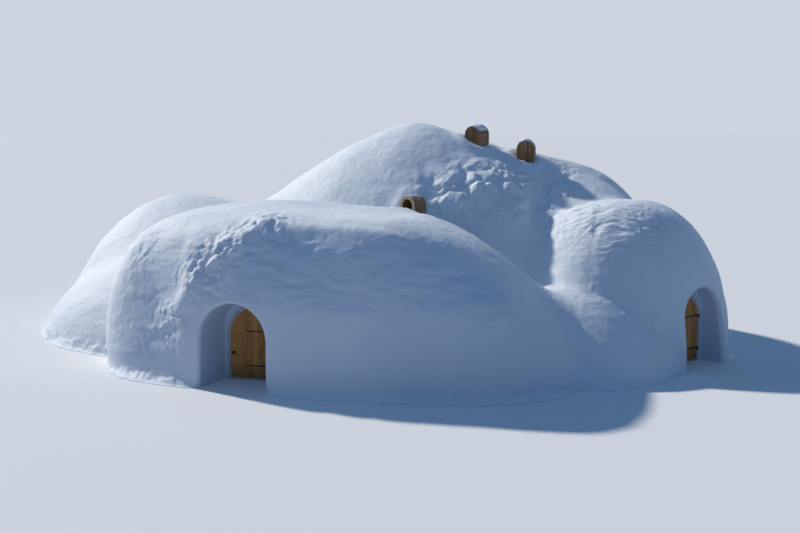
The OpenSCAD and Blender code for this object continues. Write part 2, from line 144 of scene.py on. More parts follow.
def near_path(points, path, radius):
    """A share from 1 on a path of straight legs to 0 far from it: exp(-(distance / radius)^2)."""
    best = np.full(points.shape[:-1], np.inf)
    for a, b in zip(np.array(path[:-1], float), np.array(path[1:], float)):
        t = np.clip(((points - a) @ (b - a)) / ((b - a) @ (b - a)), 0, 1)
        best = np.minimum(best, np.linalg.norm(points - a - t[..., None] * (b - a), axis=-1))
    return np.exp(-(best / radius) ** 2)


def near_paths(points, paths):
    """The highest share of several paths, each given by its strength, its points and its radius."""
    return np.max([strength * near_path(points, path, radius) for strength, path, radius in paths], axis=0)


def eased(t):
    """Smooth step from 0 to 1: 3t^2 - 2t^3, held at its ends."""
    t = np.clip(t, 0, 1)
    return t * t * (3 - 2 * t)


# The grid of the outside: the blocks' ends from left to right, columns in each, rows before and behind the
# cut that parts the front dome, and the share of the depth at which it lies. Then the skirt round its edge.
block_ends = (-10.238, -5.9, 5.9, 10.238)
column_counts, front_rows, back_rows = (150, 408, 190), 190, 196
front_share = 0.25
skirt_steps, skirt_width, skirt_reach, skirt_edge = 6, 0.22, 0.20, 0.012
trodden_paths = ([(-1.9, -6.8, 0), (-0.7, -6.8, 0)], [(9.0, -1.9, 0), (9.9, -0.9, 0)])


def even_places(across, lengths, count):
    """count + 1 values of across that divide it into equal sums of the lengths of its short pieces."""
    length = np.concatenate([[0], np.cumsum(lengths)])
    return np.interp(np.linspace(0, length[-1], count + 1), length, across)


def column_places():
    """Where the columns stand, closer where the snow is steep: a column's length is the fourth root of the
    mean of (1 + slope^2)^2 from front to back."""
    columns = []
    for start, end, count in zip(block_ends, block_ends[1:], column_counts):
        x = np.linspace(start, end, 1500)
        steep = np.diff(dome_snow(x[:, None], np.linspace(-6.2, 6.2, 90)[None]), axis=0) / (x[1] - x[0])
        columns.append(even_places(x, ((1 + np.minimum(steep, 4) ** 2) ** 2).mean(1) ** 0.25, count))
    return np.unique(np.concatenate(columns))


def foot_line(x, side):
    """Front (-1) or back (+1) edge of the snow on the ground: a soft maximum of the domes' own edges, the
    logarithm of the sum of exp(12 y) over 12."""
    total = np.zeros(len(x))
    for cx, cy, a, b, h, k, p, q in snow_domes.values():
        reach = b * np.clip(1 - np.abs((x - cx) / a) ** k, 0, None) ** (1 / k)
        total += np.where(np.abs(x - cx) < a, np.exp(12 * (side * cy + reach)), 0)
    return side * np.log(total) / 12


def row_places(x):
    """Where the rows cross each column: evenly divided along the surface from foot to foot, in two runs that
    meet at the cut, and a little wider towards the back."""
    t = np.linspace(0, 1, 600)
    runs = [(front_share * t ** 2.5, 0, front_rows),
            (1 - (1 - front_share) * (1 - t) ** 2, front_rows, back_rows)]
    y = np.empty((len(x), front_rows + back_rows + 1))
    for column, (front, back) in enumerate(zip(foot_line(x, -1), foot_line(x, 1))):
        for share, first, count in runs:
            across = front + (back - front) * share
            weight = np.interp((across[1:] + across[:-1]) / 2, [0, 4, 7], [1, 0.75, 0.65])
            lengths = np.hypot(np.diff(across), np.diff(dome_snow(x[column], across))) * weight
            y[column, first:first + count + 1] = even_places(across, lengths, count)
    return y


def snow_grid():
    """The outside of all the snow as one grid of columns and rows. Round it goes a skirt, on which the height
    falls by (1 - s)^2.2. Its width wanders, and it is narrow on the trodden paths to the doors."""
    x = column_places()
    y = row_places(x)
    x = np.repeat(x[:, None], y.shape[1], 1)
    z = np.pad(drifted_snow(x, y), skirt_steps, mode="edge")
    s = np.linspace(0, 1, skirt_steps + 1)[1:]
    fall = [np.concatenate([(1 - s[::-1]) ** 2.2, np.ones(n), (1 - s) ** 2.2]) for n in y.shape]
    x, y = np.pad(x, skirt_steps, mode="edge"), np.pad(y, skirt_steps, mode="edge")
    level = np.stack([x, y, np.zeros_like(x)], -1)
    width = skirt_width * (1 + 0.6 * snow_noise(level, 0.9, 8) + 0.3 * snow_noise(level, 0.3, 9))
    trodden = [near_path(level, path, 0.9) for path in trodden_paths]
    width *= 1 - 0.9 * trodden[0] - 0.9 * trodden[1]
    sides = ((-1, slice(0, skirt_steps), s[::-1]), (1, slice(-skirt_steps, None), s))
    for sign, edge, out in sides:
        x[edge] += sign * skirt_reach * out[:, None]
        y[:, edge] += sign * width[:, edge] * out
    for sign, edge, out in sides:
        middle = y[edge].mean(1)[:, None]
        y[edge] = middle + (y[edge] - middle) * np.sqrt(1 - (0.9 * out[:, None]) ** 2)
    return np.stack([x, y, np.maximum(z * fall[0][:, None] * fall[1], skirt_edge)], -1)


# Where the crust is broken and where the wind cut ripples, as paths with a strength and a radius.
crust_edge = [(-0.7, -5.95, 3.95), (-1.6, -6.34, 3.33), (-2.2, -6.5, 2.5), (-2.9, -6.45, 1.9),
              (-3.4, -6.4, 1.3)]
front_brow = [(-0.7, -5.95, 3.95), (1.5, -6.0, 4.0), (3.2, -5.95, 3.85)]
broken_paths = [
    (1.0, crust_edge[:4], 0.60), (0.5, crust_edge[3:], 0.45),
    (0.30, [(-4.4, -5.4, 3.2), (-5.2, -4.6, 2.2)], 0.7),
    (0.85, [(2.6, -0.8, 4.3), (3.7, 0.3, 4.6), (5.0, 1.4, 4.6)], 0.95),
    (0.55, [(3.8, -0.9, 3.6), (4.8, 0.4, 4.1)], 0.8),
    (0.4, [(-4.5, 4.2, 2.6), (-1.5, 5.8, 2.6), (2.0, 6.2, 2.2)], 1.1)]
fallen_path = [(2.5, -0.6, 4.3), (3.7, 0.3, 4.6), (4.7, 0.2, 3.9)]
ripple_paths = [(1.0, [(6.3, -0.5, 3.9), (7.5, -1.2, 3.7)], 0.95),
                (0.6, [(-7.5, 3.6, 3.2), (-6.0, 4.4, 2.9)], 1.2)]


def broken_share(points):
    """How much of the crust is broken into lumps: along the edge above and left of the front porch, over the
    shoulder between the vents and the right dome, and in patches over the back."""
    patchy = snow_noise(points, 0.9, 10) + 0.5 * snow_noise(points, 0.35, 11)
    return near_paths(points, broken_paths) * eased(0.75 + patchy)


def rippled_share(points):
    """Where the wind cut close ripples: the top and near side of the right dome, and the left dome's back."""
    return near_paths(points, ripple_paths)


def smoothed_and_bounce_lit_share(points):
    """Where the outside was worked smooth by hand: the front wall up to 2 m beside its doorway, and round the
    side doorway. The material also paints the snow lighter there, as painted bounce light."""
    x, y, z = np.moveaxis(points, -1, 0)
    wall = eased((2.3 - z) / 0.5) * eased((-4.6 - y) / 1.0) * eased((x + 2.9) / 0.7) * eased((3.2 - x) / 1.6)
    return np.maximum(wall, near_path(points, [(9.3, -1.1, 0.4), (9.3, -1.1, 1.9)], 1.0))


def glaze_and_shade_share(points):
    """The steep front face under its brow, where the wind left a glaze of streaks. The material paints it
    darker and bluer there, as painted shade.
    """
    x, y, z = np.moveaxis(points, -1, 0)
    return eased((z - 1.9) / 0.5) * eased((4.0 - z) / 0.5) * eased((-4.9 - y) / 0.6) * eased((x + 1.6) / 0.8)


def cheek_depth(points):
    """How deep in metres the wind has planed the cheek of the front dome, left of its porch."""
    x, y, z = np.moveaxis(points, -1, 0)
    cheek = np.exp(-((x + 3.75) / 1.05) ** 2 - ((z - 2.1) / 1.6) ** 2) * eased((-4.8 - y) / 0.8)
    return 0.26 * cheek * eased((-2.45 - x) / 0.5) * eased(z / 0.4)


def crusted(grid, normal):
    """Moves the grid along its normals by the sum of its layers, less near the ground, and in by the cheek's
    depth. Low lumps of thrown snow are added round the foot. Walls worked smooth by hand keep little of it."""
    x, y, z = np.moveaxis(grid, -1, 0)
    smooth = 1 - 0.85 * smoothed_and_bounce_lit_share(grid)
    bent = grid + 0.22 * np.stack([snow_noise(grid, 0.7, seed) for seed in (12, 13, 14)], -1)
    # Long swells and fine unevenness.
    move = 0.065 * snow_noise(grid, 3.1) + 0.030 * snow_noise(grid, 1.3, 1)
    move += 0.014 * snow_noise(bent, (0.9, 0.6, 0.35), 2) + 0.006 * snow_noise(bent, 0.17, 3)
    # Clods where crust broke off and froze on again, and larger ones that fell on the shoulder.
    share = broken_share(grid)
    lumps = np.zeros(share.shape)
    rough = share > 0.02
    lumps[rough] = 0.09 * clods(bent[rough], 0.55, 4) + 0.08 * clods(bent[rough], 0.30, 5) - 0.06
    lumps[rough] += 0.045 * clods(grid[rough], 0.17, 20) + 0.014 * snow_noise(bent[rough], 0.11, 15)
    move += share * lumps
    share = near_path(grid, fallen_path, 0.9)
    rough = share > 0.02
    lumps = 0.12 * clods(bent[rough], 0.62, 22) + 0.10 * snow_noise(bent[rough], 0.7, 23) - 0.04
    move[rough] += share[rough] * lumps
    # Wind ripples, then level streaks on the wall and finer ones on its glazed face.
    crests = 1 - np.abs(snow_noise(bent, (0.50, 0.17, 0.30), 6)) * 2
    move += 0.030 * rippled_share(grid) * crests
    streaks = eased((z - 1.7) / 0.4) * eased((3.2 - z) / 0.7) * eased((-4.6 - y) / 0.8)
    streaks *= eased((x + 1.4) / 1.0)
    slant = bent + (0, 0, 0.12) * x[..., None]
    patchy = eased(0.35 + 1.3 * snow_noise(grid, (1.5, 1.5, 0.6), 21))
    face = glaze_and_shade_share(grid)
    move += 0.050 * streaks * patchy * snow_noise(slant, (1.9, 1.9, 0.24), 7)
    move += 0.022 * face * snow_noise(bent, (0.45, 0.45, 0.22), 16)
    move += 0.012 * face * patchy * snow_noise(slant, (0.5, 0.5, 0.10), 19)
    # A raised rim along the broken edge and the brow.
    move += 0.075 * near_path(grid, crust_edge[:4], 0.27) + 0.045 * near_path(grid, front_brow, 0.20)
    move *= eased((z - 0.15) / 0.5) * smooth
    move = np.minimum(move, 0.15 * np.clip(z - 0.15, 0, None)) - cheek_depth(grid)
    low = 0.08 * (snow_noise(grid, 0.45, 17) + 0.6 * snow_noise(grid, 0.18, 18)) * eased((0.45 - z) / 0.3)
    return grid + move[..., None] * normal + (low * eased(z / 0.12) * smooth)[..., None] * (0, 0, 1)


def laid_mesh(name, points, faces):
    """A mesh object at the origin from arrays of points and faces."""
    mesh = bpy.data.meshes.new(name)
    mesh.from_pydata(np.asarray(points).reshape(-1, 3).tolist(), [], faces)
    mesh.update()
    piece = bpy.data.objects.new(name, mesh)
    bpy.context.scene.collection.objects.link(piece)
    return piece


def snow_block(name, part, nodes):
    """One block of the shell: its part of the skin, a lip that turns in under the skin all round, walls
    straight down from there, and a flat floor. Two blocks share the lip and wall where they meet."""
    skin, plain, inward = snow[part], bare[part], turned_in[part]
    m, n = skin.shape[:2]
    index = np.arange(m * n).reshape(m, n)
    quads = np.stack([index[:-1, :-1], index[1:, :-1], index[1:, 1:], index[:-1, 1:]], -1).reshape(-1, 4)
    rim = np.concatenate([index[:-1, 0], index[-1, :-1], index[:0:-1, -1], index[0, :0:-1]])
    lip = (plain.reshape(-1, 3) - inward.reshape(-1, 3))[rim]
    under, foot = m * n + np.arange(len(rim)), m * n + len(rim) + np.arange(len(rim))
    walls = [np.stack([low, np.roll(low, -1), np.roll(high, -1), high], -1)
             for high, low in ((rim, under), (under, foot))]
    points = np.concatenate([skin.reshape(-1, 3), lip, lip * (1, 1, 0)])
    piece = laid_mesh(name, points, [*quads.tolist(), *np.concatenate(walls).tolist(), foot[::-1].tolist()])
    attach(piece, "snow_house")
    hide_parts(*nodes)
    return piece


bare = snow_grid()
bare_normal = upward_normal(bare[..., 0], bare[..., 1])
snow = crusted(bare, bare_normal)
turned_in = bare_normal * np.minimum(0.14, 0.4 * bare[..., 2:])
left_cut = skirt_steps + column_counts[0]
right_cut = left_cut + column_counts[1]
front_cut = skirt_steps + front_rows
snow_blocks = [
    snow_block("snow_left_dome", np.s_[:left_cut + 1], [
        "left_dome_front", "left_dome_roof", "left_dome_back"]),
    snow_block("snow_front_dome", np.s_[left_cut:right_cut + 1, :front_cut + 1], [
        "front_wall_left", "front_doorway", "front_wall_right", "front_dome_right_end"]),
    snow_block("snow_centre_dome", np.s_[left_cut:right_cut + 1, front_cut:], [
        "left_valley", "back_wall_left", "roof_over_door", "back_wall_middle_left", "roof_high",
        "back_wall_middle_right", "roof_right_shoulder", "back_dome_wall"]),
    snow_block("snow_right_dome", np.s_[right_cut:], [
        "right_dome_front", "right_dome_roof", "right_dome_back", "side_doorway", "side_wall_back"]),
]

# Hollows in the snow. The balloons leave a vaulted hall behind the front door and four domed rooms. Passages,
# doorways, splayed porches with rounded mouths, and each vent's pocket and shaft are sawn and dug out.
# Hall: centre x and y, height of its centre line, radius, half length. Rooms: radius and height of the wall.
hall = (0.45, -3.55, 1.1, 1.75, 2.7)
rooms = {"centre": (3.3, 1.3), "back": (2.3, 1.2), "right": (1.8, 1.1), "left": (2.1, 0.9)}
passages = {"hall": ((1.05, -3.55), (1.05, 1.0)), "left": ((-5.75, 2.0), (0.05, 2.0))}
passage_width, passage_height, below_ground = 1.2, 1.95, -0.5
# The doors stand at x, y, turned by an angle in degrees. The side door faces out from its dome's centre.
side_angle, side_reach = -34, 2.05
side_out = side_reach * math.cos(math.radians(side_angle)), side_reach * math.sin(math.radians(side_angle))
door_places = {"front": (-1.3, -5.5, 0.0), "side": (
    snow_domes["right"][0] + side_out[0], snow_domes["right"][1] + side_out[1], 90.0 + side_angle)}
leaf_width, leaf_height, leaf_arc, sill_height = 1.04, 1.79, 0.76, 0.045
leaf_gap, frame_width, frame_depth = 0.008, 0.09, 0.14
head_offset = leaf_arc - leaf_width / 2
head_spring = sill_height + leaf_height - math.sqrt(leaf_arc ** 2 - head_offset ** 2)
# Porch: half width and height at the frame, run outwards, what both gain over it, and the lip at its mouth.
porch_half, porch_top, porch_run, porch_flare, porch_lift, porch_lip = 0.68, 2.08, 1.5, 0.27, 0.07, 0.10
vent_width, vent_depth, vent_rise, vent_sink, vent_board, vent_gap = 0.52, 0.46, 0.56, 0.70, 0.028, 0.001
shaft_half, shaft_length, above_snow = 0.16, 2.6, 1.12


def placed(points, place):
    """Turns points drawn with their outside towards -Y by an angle in degrees, and sets them at x, y, z."""
    c, s = math.cos(math.radians(place[-1])), math.sin(math.radians(place[-1]))
    x, y, z = np.moveaxis(np.asarray(points, float), -1, 0)
    height = place[2] if len(place) == 4 else 0.0
    return np.stack([place[0] + x * c - y * s, place[1] + x * s + y * c, z + height], -1)


def ringed(rings):
    """Faces of a closed solid from rings of points: quads between rings and a flat face on each end,
    turned so that they face outwards."""
    m, n = rings.shape[:2]
    index = np.arange(m * n).reshape(m, n)
    after = np.roll(index, -1, 1)
    quads = np.stack([index[:-1], after[:-1], after[1:], index[1:]], -1).reshape(-1, 4)
    p = rings.reshape(-1, 3)
    p = p - p.mean(0)
    a, b, c, d = (p[quads[:, k]] for k in range(4))
    turned = (np.cross(b - a, c - a) * a).sum() + (np.cross(c - a, d - a) * a).sum() < 0
    faces = [*quads.tolist(), index[0, ::-1].tolist(), index[-1].tolist()]
    return [f[::-1] for f in faces] if turned else faces


def arch_ring(half, height, count=64):
    """Outline of a round-headed arch that stands 0.5 m into the ground, with evenly spaced points."""
    turn = np.linspace(0, math.pi, 1 + count)
    head = np.stack([half * np.cos(turn), height - half + half * np.sin(turn)], -1)
    leg = np.linspace(below_ground, height - half, 1 + count // 2)[:-1]
    return np.concatenate([np.stack([np.full(len(leg), half), leg], -1), head,
                           np.stack([np.full(len(leg), -half), leg[::-1]], -1)])


def skin_depth(x, z, place):
    """How far in front of a door's face the snow's outside lies, at points x, z of the door's own plane,
    by halving: the snow is lower than z outside and higher inside."""
    out, inside = np.full(np.shape(x), -3.0), np.full(np.shape(x), 0.0)
    for _ in range(30):
        middle = (out + inside) / 2
        p = placed(np.stack([x, middle, z], -1), place)
        under = dome_snow(p[..., 0], p[..., 1]) > np.maximum(z, snow_foot + 0.02)
        out, inside = np.where(under, out, middle), np.where(under, middle, inside)
    return (out + inside) / 2


def porch_rings(place):
    """A porch from the door's frame out through the snow. Its outline is a round arch that widens outwards,
    and over its lip it turns over the edge by r - sqrt(r^2 - (r - d)^2), d being the depth in the snow."""
    ring = arch_ring(1.0, 2.0)
    side = np.stack([ring[:, 0], np.maximum(ring[:, 1] - 1.0, 0)], -1)
    out = side / np.maximum(np.linalg.norm(side, axis=1), 1e-9)[:, None]

    def outline(depth):
        """The arch at a depth before the frame, stretched from an arch 1 m in half width and 2 m high."""
        t = -depth[:, None] / porch_run
        half, top = porch_half + porch_flare * t, porch_top + porch_lift * t
        up = np.where(ring[:, 1:] > 1.0, top - half + (ring[:, 1:] - 1.0) * half,
                      -0.5 + (ring[:, 1:] + 0.5) / 1.5 * (top - half + 0.5))
        return np.concatenate([ring[:, :1] * half, up], 1)

    mouth = np.full(len(ring), -1.3)
    for _ in range(8):
        flat = outline(mouth)
        mouth = skin_depth(flat[:, 0], flat[:, 1], place)
    rings = []
    for share in np.linspace(0, 1, 28):
        depth = (mouth + porch_lip) * share
        rings.append(np.concatenate([outline(depth), depth[:, None]], 1))
    for turn in np.radians([18, 36, 52, 66, 76]):
        depth = mouth + porch_lip * (1 - math.sin(turn))
        flat = outline(depth) + out * porch_lip * (1 - math.cos(turn))
        rings.append(np.concatenate([flat, depth[:, None]], 1))
    for grow, before in ((0.92, 0.03), (1.15, 0.9)):
        flat = outline(mouth) + out * porch_lip * grow
        rings.append(np.concatenate([flat, (mouth - before)[:, None]], 1))
    return placed(np.array(rings)[..., [0, 2, 1]], place)


def turned_rings(out, along):
    """Rings of 128 points round an axis: two coordinates across it, and the one along it from each ring."""
    turn = np.linspace(0, 2 * math.pi, 129)[:-1]
    return out[:, None] * np.cos(turn), out[:, None] * np.sin(turn), np.repeat(along[:, None], 128, 1)


def room_rings(cx, cy, radius, wall):
    """A round room: an upright wall that turns over into a half sphere."""
    rise = np.linspace(0, math.pi / 2 - 0.004, 40)
    up = np.concatenate([[below_ground, 0.0, wall * 0.5], wall + radius * np.sin(rise)])
    x, y, z = turned_rings(np.concatenate([[radius] * 3, radius * np.cos(rise)]), up)
    return np.stack([cx + x, cy + y, z], -1)


def hall_rings(cx, cy, rise, radius, half):
    """The hall: a level tube with half a sphere on each end, turned about its long centre line."""
    end = np.linspace(0.02, math.pi / 2, 30)
    along = np.concatenate([-half - radius * np.cos(end), half + radius * np.cos(end[::-1])])
    y, z, x = turned_rings(radius * np.concatenate([np.sin(end), np.sin(end[::-1])]), cx + along)
    return np.stack([x, cy + y, rise + z], -1)


def passage_rings(start, end):
    """A passage: a round-headed arch carried from one point to another."""
    ring = arch_ring(passage_width / 2, passage_height, 32)
    a, b = np.array(start), np.array(end)
    along = (b - a) / np.linalg.norm(b - a)
    steps = a + (b - a) * np.linspace(0, 1, 12)[:, None]
    flat = steps[:, None] + ring[None, :, :1] * (along[1], -along[0])
    return np.concatenate([flat, np.repeat(ring[None, :, 1:], 12, 0)], -1)


def doorway_rings(place):
    """The way through the wall behind a door frame, which fits the frame's pointed outline: on each side a
    leg, and an arc of leaf_arc and what lies round the leaf."""
    grow = leaf_gap + frame_width
    turn = np.linspace(0, math.acos(head_offset / (leaf_arc + grow)), 24)
    arc = np.stack([(leaf_arc + grow) * np.cos(turn) - head_offset,
                    head_spring + (leaf_arc + grow) * np.sin(turn)], -1)
    leg = np.linspace(below_ground, head_spring, 12)[:-1]
    right = np.concatenate([np.stack([np.full(len(leg), leaf_width / 2 + grow), leg], -1), arc])
    ring = np.concatenate([right, right[-2::-1] * (-1, 1)])
    depths = [np.insert(ring, 1, depth, axis=1) for depth in (-0.002, 0.3, 0.8, 1.4)]
    return placed(np.array(depths), place)


def boxed_rings(half, front, back, low, high, place):
    """An upright box as two rings of four corners."""
    ring = np.array([(-half, front), (half, front), (half, back), (-half, back)])
    return placed(np.array([np.c_[ring, np.full(4, low)], np.c_[ring, np.full(4, high)]]), place)


hollows = {"hall": hall_rings(*hall)}
for name, (radius, wall) in rooms.items():
    hollows[f"{name}_room"] = room_rings(*snow_domes[name][:2], radius, wall)
for name, (start, end) in passages.items():
    hollows[f"{name}_passage"] = passage_rings(start, end)
for name, place in door_places.items():
    hollows[f"{name}_porch"] = porch_rings(place)
    hollows[f"{name}_way"] = doorway_rings(place)
vent_stands = {name: (x, y, float(dome_snow(np.array(x), np.array(y))), turn)
               for name, (x, y, turn) in vent_places.items()}
for name, stand in vent_stands.items():
    half, deep = vent_width / 2 + vent_gap, vent_depth / 2
    back, front = deep + vent_gap, -deep - vent_board - vent_gap
    hollows[f"{name}_pocket"] = boxed_rings(half, -back, back, -vent_sink, above_snow, stand)
    hollows[f"{name}_notch"] = boxed_rings(half + 0.02, front, -deep, 0.03, above_snow, stand)
    hollows[f"{name}_shaft"] = boxed_rings(shaft_half, -shaft_half, shaft_half, -vent_sink - shaft_length,
                                           -vent_sink + vent_gap, stand)


def mesh_points(mesh):
    """A mesh's points as an array."""
    points = np.empty(len(mesh.vertices) * 3)
    mesh.vertices.foreach_get("co", points)
    return points.reshape(-1, 3)


def shaded_smooth(mesh, sharp=180):
    """Shades a mesh smooth, but keeps edges that turn by more than an angle in degrees."""
    mesh.polygons.foreach_set("use_smooth", np.ones(len(mesh.polygons), bool))
    mesh.set_sharp_from_angle(angle=math.radians(sharp))


for piece in snow_blocks:
    corners = mesh_points(piece.data)
    low, high = corners.min(0), corners.max(0)
    for name, rings in hollows.items():
        if (rings.reshape(-1, 3).min(0) > high).any() or (rings.reshape(-1, 3).max(0) < low).any():
            continue
        cutter = laid_mesh(f"cutter_{name}", rings, ringed(rings))
        cut_out = piece.modifiers.new(name, "BOOLEAN")
        cut_out.operation, cut_out.solver, cut_out.object = "DIFFERENCE", "MANIFOLD", cutter
        bpy.context.view_layer.update()
        hollowed = bpy.data.meshes.new_from_object(piece.evaluated_get(bpy.context.evaluated_depsgraph_get()))
        piece.modifiers.clear()
        piece.data = hollowed
        bpy.data.objects.remove(cutter)
    piece.data.name = piece.name
    shaded_smooth(piece.data, 42)

# The snow's surface: fine grain, small frozen crumbs where the crust is broken, with painted shade in the
# pits between them, wind ripples a few centimetres apart, and streaks where the wind left a glaze on the
# steep face under the front brow, painted darker and bluer as painted shade. The walls worked smooth by hand
# beside the doorways are painted lighter, as painted bounce light. Inside the porches and rooms lies the
# smoother face that a shovel and a saw leave, painted darker and bluer as painted shade.
snow_marks = ("carved_and_shaded", "broken", "rippled", "smoothed_and_bounce_lit", "glaze_and_shade")
# The second colour is a bluer tone mixed in at random, and it is also the painted shade in the pits of broken
# crust.
snow_white, snow_blue_tone_and_pit_shade = (0.800, 0.835, 0.880, 1), (0.690, 0.750, 0.830, 1)
# Painted light and shade: the first of these is a lighter white, painted bounce light on the walls by the
# doorways. The second is painted shade inside the porches and rooms. The third is painted shade on the
# streaked face under the front brow.
painted_bounce_light_white, painted_recess_shade_blue, glaze_and_painted_shade_blue = (0.86, 0.88, 0.90, 1), (0.60, 0.70, 0.80, 1), (0.620, 0.715, 0.830, 1)
# How deep under the skin snow counts as cut by hand, and over how much more it changes. There it gets saw
# marks and is painted darker and bluer, as painted shade in the recesses.
carved_from, carved_over = 0.14, 0.10
# Relief in metres.
crumb_relief, broken_relief, grain_relief = 0.010, 0.060, 0.009
drift_relief, ripple_relief, saw_relief = 0.022, 0.090, 0.012


def keep_values(mesh, named_values):
    """Stores values at a mesh's points as attributes, for its material to read."""
    for name, values in named_values.items():
        kept = mesh.attributes.new(name, "FLOAT", "POINT")
        kept.data.foreach_set("value", np.ravel(values).astype(np.float32))


def fed(tree, node, inputs):
    """Sets or links a node's inputs, by name or number."""
    for name, value in inputs.items():
        if isinstance(value, bpy.types.NodeSocket):
            tree.links.new(value, node.inputs[name])
        else:
            node.inputs[name].default_value = value
    return node


def shader_node(tree, kind, inputs, **settings):
    """Adds a shader node of a kind with its inputs and settings."""
    node = tree.nodes.new(f"ShaderNode{kind}")
    for name, value in settings.items():
        setattr(node, name, value)
    return fed(tree, node, inputs)


def arithmetic(tree, operation, *values):
    """One step of arithmetic with numbers or masks."""
    return shader_node(tree, "Math", dict(enumerate(values)), operation=operation).outputs[0]


def times(tree, first, second):
    """The product of two numbers or masks."""
    return arithmetic(tree, "MULTIPLY", first, second)


def times_plus(tree, first, second, third):
    """The product of two numbers or masks, with a third added."""
    return arithmetic(tree, "MULTIPLY_ADD", first, second, third)


def blended(tree, share, first, second):
    """A colour mixed from two by a share."""
    return shader_node(tree, "Mix", {0: share, 6: first, 7: second}, data_type="RGBA").outputs[2]


def ranged(tree, value, low, high, start, end, curve="LINEAR"):
    """Carries a value from the range low to high over to start to end, held at its ends."""
    inputs = {"Value": value, 1: low, 2: high, 3: start, 4: end}
    return shader_node(tree, "MapRange", inputs, interpolation_type=curve).outputs[0]


def texture(tree, place, scale, detail, roughness=0.5, stretch=(1, 1, 1), bend=0.0):
    """Noise over a place, finer with scale, and drawn out along an axis where its stretch is under 1."""
    drawn = shader_node(tree, "Mapping", {"Vector": place, "Scale": stretch}).outputs[0]
    inputs = {"Vector": drawn, "Scale": scale, "Detail": detail, "Roughness": roughness, "Distortion": bend}
    return shader_node(tree, "TexNoise", inputs).outputs["Fac"]


def attribute(tree, name, output="Fac"):
    """An attribute of the piece that the material is on."""
    return shader_node(tree, "Attribute", {}, attribute_name=name).outputs[output]


def own_place(tree):
    """Coordinates of the piece that the material is on."""
    return shader_node(tree, "TexCoord", {}).outputs["Object"]


def bumped(tree, height, strength=1.0):
    """The normal that a height in metres gives the surface."""
    inputs = {"Height": height, "Strength": strength, "Distance": 1.0}
    return shader_node(tree, "Bump", inputs).outputs["Normal"]


def new_stuff(name):
    """A material with only its Principled shader and output."""
    stuff = bpy.data.materials.new(name)
    stuff.use_nodes = True
    return stuff, stuff.node_tree, stuff.node_tree.nodes["Principled BSDF"]


snow_stuff, tree, shader = new_stuff("packed_snow_surface")
place = own_place(tree)
carved_and_shaded, broken, rippled, smoothed_and_bounce_lit, glaze_and_shade = (attribute(tree, mark) for mark in snow_marks)
grain = texture(tree, place, 38, 5, 0.7)
crumbs = texture(tree, place, 9, 4, 0.55)
drift_lines = texture(tree, place, 3.2, 4, 0.55, (0.5, 0.9, 1.7))
ripples = texture(tree, place, 5.5, 3, 0.55, (0.45, 1.5, 1.5))
swirls = texture(tree, place, 0.55, 3, 0.55)
saw_marks = texture(tree, place, 7, 3, 0.55, (1, 1, 0.25))
streaks = texture(tree, place, 1.3, 4, 0.62, (0.35, 0.35, 2.2))
open_air = arithmetic(tree, "SUBTRACT", 1.0, carved_and_shaded)
height = times_plus(tree, crumbs, times_plus(tree, broken, broken_relief, crumb_relief),
                    times(tree, grain, grain_relief))
height = times_plus(tree, drift_lines, drift_relief, height)
height = times_plus(tree, ripples, times(tree, rippled, ripple_relief), height)
height = times(tree, height, times_plus(tree, open_air, 0.85, 0.15))
height = times_plus(tree, saw_marks, times(tree, carved_and_shaded, saw_relief), height)
white = blended(tree, ranged(tree, swirls, 0.35, 0.75, 0.0, 0.55), snow_white, snow_blue_tone_and_pit_shade)
# Painted bounce light: the walls worked smooth beside the doorways are painted lighter.
white = blended(tree, smoothed_and_bounce_lit, white, painted_bounce_light_white)
# Painted shade: streaks on the face under the front brow are painted darker and bluer.
streaked = ranged(tree, streaks, 0.36, 0.60, 0.25, 1.0)
white = blended(tree, times(tree, glaze_and_shade, streaked), white, glaze_and_painted_shade_blue)
# Painted shade: where the crust is broken, the pits between its crumbs are painted bluer and darker.
pitted = ranged(tree, crumbs, 0.35, 0.62, 0.7, 0.0)
white = blended(tree, times(tree, pitted, broken), white, snow_blue_tone_and_pit_shade)
# Painted shade: the cut faces inside the porches, rooms and shafts are painted darker and bluer.
white = blended(tree, times(tree, carved_and_shaded, 0.9), white, painted_recess_shade_blue)
rough = times_plus(tree, grain, 0.22, times_plus(tree, carved_and_shaded, -0.16, 0.52))
fed(tree, shader, {"Base Color": white, "Roughness": rough, "Normal": bumped(tree, height, 0.8),
                   "Subsurface Weight": 0.12, "Subsurface Radius": (0.7, 0.85, 1.0), "Subsurface Scale": 0.02,
                   "Specular IOR Level": 0.25})

for piece in snow_blocks:
    points = mesh_points(piece.data)
    x, y, z = points.T
    depth = (drifted_snow(x, y) - z) * upward_normal(x, y)[:, 2] - cheek_depth(points)
    keep_values(piece.data, {
        "carved_and_shaded": eased((depth - carved_from) / carved_over), "broken": broken_share(points),
        "rippled": rippled_share(points), "smoothed_and_bounce_lit": smoothed_and_bounce_lit_share(points), "glaze_and_shade": glaze_and_shade_share(points)})
    piece.data.materials.clear()
    piece.data.materials.append(snow_stuff)

# Both doors are alike: seven upright spruce boards nailed to three ledges, with the head cut to a pointed
# arch, oiled brown and darker at the foot. The leaf fills a pale timber frame, which is set in the snow where
# its porch ends.
leaf_thickness, leaf_boards, board_gap, board_wander, ledge_thickness = 0.032, 7, 0.003, 0.012, 0.028
ledge_feet, ledge_height, ledge_half = (0.235, 0.665, 1.055), 0.13, 0.49
board_cut, frame_cut = (0.004, 0.004), (0.006, 0.006)
fibre_relief, ring_relief, frost_relief = 0.0016, 0.0006, 0.0015
frost_white = (0.80, 0.84, 0.89, 1)
wood_rng = np.random.default_rng(5)


